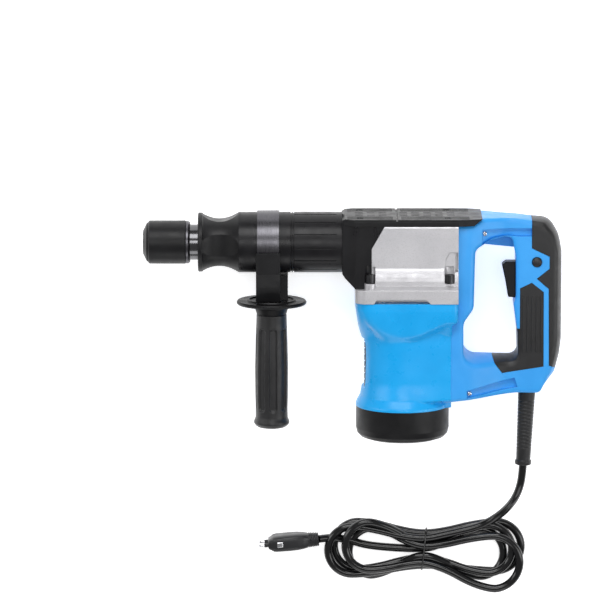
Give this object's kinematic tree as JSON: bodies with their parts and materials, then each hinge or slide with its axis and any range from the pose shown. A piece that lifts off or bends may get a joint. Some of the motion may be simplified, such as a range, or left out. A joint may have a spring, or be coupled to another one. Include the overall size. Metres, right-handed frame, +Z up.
{
  "type": "demolition hammer",
  "caption": "Corded electric demolition hammer with a slide-back tool chuck, side handle, D-shaped rear handle with trigger, and a tied hank of mains cord.",
  "frame": {"origin": "centre of the box round the tool without its cord, on the surface that it lies on", "axes": "-X towards the tool tip, +Y towards the top of the tool, +Z up from the surface, out of the tool's left side"},
  "size_m": [0.4606, 0.4414, 0.106],
  "materials": {
    "blue_plastic": "satin",
    "silver_casting": "satin",
    "black_casting": "satin paint",
    "black_plastic": "matte",
    "grey_plastic": "satin",
    "black_rubber": "matte",
    "cord_rubber": "satin",
    "tie_plastic": "satin",
    "plug_plastic": "satin",
    "plug_metal": "polished",
    "tool_steel": "turned",
    "satin_steel": "satin",
    "bearing_steel": "ground",
    "black_screws": "black oxide",
    "lamination": "raw",
    "copper": "enamelled",
    "carbon": "matte",
    "fan_plastic": "matte"
  },
  "bodies": {
    "housing": {"barrel": "black_casting", "brush_holders": "black_plastic", "brush_springs": "tool_steel", "buffer_ring": "black_rubber", "carbon_brushes": "carbon", "cord_guard": "black_rubber", "cord_hank": "cord_rubber", "cord_lead": "cord_rubber", "cord_tail": "cord_rubber", "cover_screws": "black_screws", "crank_bearing": "bearing_steel", "crank_housing": "black_casting", "cylinder": "tool_steel", "field_coils": "copper", "front_cover": "black_plastic", "front_vent": "black_plastic", "gear_housing": "silver_casting", "grip_inlays": "black_rubber", "handle_left": "blue_plastic", "handle_right": "blue_plastic", "handle_screws": "black_screws", "hank_tie": "tie_plastic", "housing_bolts": "black_screws", "locking_balls": "tool_steel", "lower_bearing": "bearing_steel", "motor_cap": "black_plastic", "motor_housing": "blue_plastic", "nose_ring": "black_plastic", "plug_body": "plug_plastic", "plug_pins": "plug_metal", "rear_grip": "black_rubber", "sleeve_spring": "tool_steel", "stator_core": "lamination", "switch_body": "black_plastic", "tool_holder": "tool_steel", "top_cover": "black_plastic", "upper_bearing": "bearing_steel"},
    "chuck_sleeve": {"chuck_sleeve": "black_plastic", "sleeve_ring": "satin_steel"},
    "impact_bolt": {"impact_bolt": "tool_steel"},
    "striker": {"striker": "tool_steel", "striker_ring": "black_rubber"},
    "piston": {"piston": "tool_steel", "piston_ring": "black_rubber", "wrist_pin": "tool_steel"},
    "connecting_rod": {"connecting_rod": "tool_steel"},
    "armature": {"armature_shaft": "tool_steel", "armature_core": "lamination", "armature_windings": "copper", "commutator": "copper", "cooling_fan": "fan_plastic"},
    "crank": {"crank_gear": "tool_steel", "crank_pin": "tool_steel"},
    "trigger": {"trigger": "black_plastic"},
    "lock_button": {"lock_button": "grey_plastic"},
    "side_handle": {"clamp_band": "satin_steel", "handle_bracket": "black_plastic", "clamp_bolt": "satin_steel"},
    "grip": {"hand_guard": "black_plastic", "side_grip": "black_rubber"}
  },
  "joints": [
    {"name": "sleeve_slide", "type": "slide", "parent": "housing", "child": "chuck_sleeve", "axis": [1, 0, 0], "range_m": [0, 0.008], "stiffness_N_per_m": 900, "springref_m": -0.003},
    {"name": "impact_bolt_slide", "type": "slide", "parent": "housing", "child": "impact_bolt", "axis": [-1, 0, 0], "range_m": [0, 0.006]},
    {"name": "striker_slide", "type": "slide", "parent": "housing", "child": "striker", "axis": [-1, 0, 0], "range_m": [-0.018, 0]},
    {"name": "piston_slide", "type": "slide", "parent": "housing", "child": "piston", "axis": [-1, 0, 0], "range_m": [0, 0.026]},
    {"name": "rod_swing", "type": "hinge", "parent": "piston", "child": "connecting_rod", "pos_m": [-0.0202, 0.0925, 0.053], "axis": [0, 1, 0], "range_deg": [-12, 12]},
    {"name": "armature_spin", "type": "hinge", "parent": "housing", "child": "armature", "pos_m": [0.0556, -0.04, 0.053], "axis": [0, 1, 0], "continuous": true},
    {"name": "crank_spin", "type": "hinge", "parent": "housing", "child": "crank", "pos_m": [0.0268, 0.06, 0.053], "axis": [0, 1, 0], "continuous": true},
    {"name": "trigger_pull", "type": "hinge", "parent": "housing", "child": "trigger", "pos_m": [0.185, 0.0355, 0.053], "axis": [0, 0, -1], "range_deg": [0, 8.5], "stiffness_Nm_per_rad": 0.8, "springref_deg": -8.59},
    {"name": "lock_button_press", "type": "slide", "parent": "housing", "child": "lock_button", "axis": [0, 0, -1], "range_m": [0, 0.0025], "stiffness_N_per_m": 500, "springref_m": -0.001},
    {"name": "side_handle_swing", "type": "hinge", "parent": "housing", "child": "side_handle", "pos_m": [-0.0927, 0.0925, 0.053], "axis": [1, 0, 0], "range_deg": [-180, 180]},
    {"name": "grip_turn", "type": "hinge", "parent": "side_handle", "child": "grip", "pos_m": [-0.089, -0.05, 0.053], "axis": [0, 1, 0], "range_deg": [0, 180]}
  ],
  "couplings": [
    {"joint": "crank_spin", "follows": "armature_spin", "ratio": -0.2}
  ]
}
